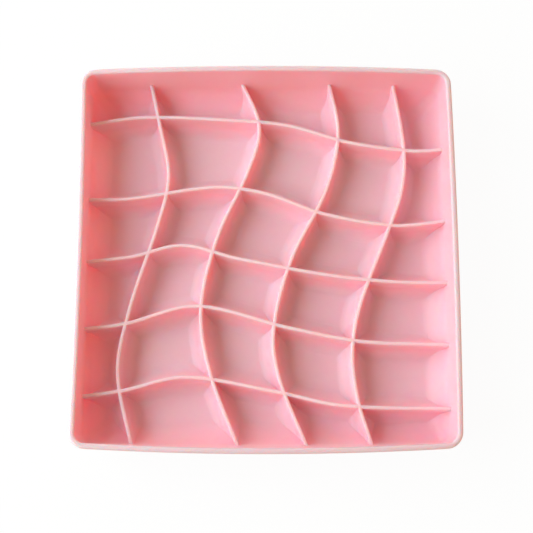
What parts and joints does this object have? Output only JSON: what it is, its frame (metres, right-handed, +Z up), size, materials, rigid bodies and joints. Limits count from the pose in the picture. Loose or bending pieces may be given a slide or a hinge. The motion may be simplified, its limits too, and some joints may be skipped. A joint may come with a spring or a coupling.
{
  "type": "slow feeder bowl",
  "caption": "Square soft silicone feeding tray with rounded rim and wavy upright dividers that part its floor into small cells.",
  "frame": {"origin": "on the resting surface, under the middle of the tray", "axes": "+Z up; +X to the right and +Y to the back, away from the person who looks at it in the picture"},
  "size_m": [0.2009, 0.2076, 0.04],
  "materials": {
    "tray": "soft matte moulded silicone",
    "divider": "soft matte moulded silicone"
  },
  "bodies": {
    "root": {"floor_pan": "tray", "side_wall": "tray", "rim": "tray", "column_divider_1": "divider", "column_divider_2": "divider", "column_divider_3": "divider", "column_divider_4": "divider", "row_divider_1": "divider", "row_divider_2": "divider", "row_divider_3": "divider", "row_divider_4": "divider", "row_divider_5": "divider", "suction_cup_1": "tray", "suction_cup_2": "tray", "suction_cup_3": "tray", "suction_cup_4": "tray"}
  },
  "joints": []
}
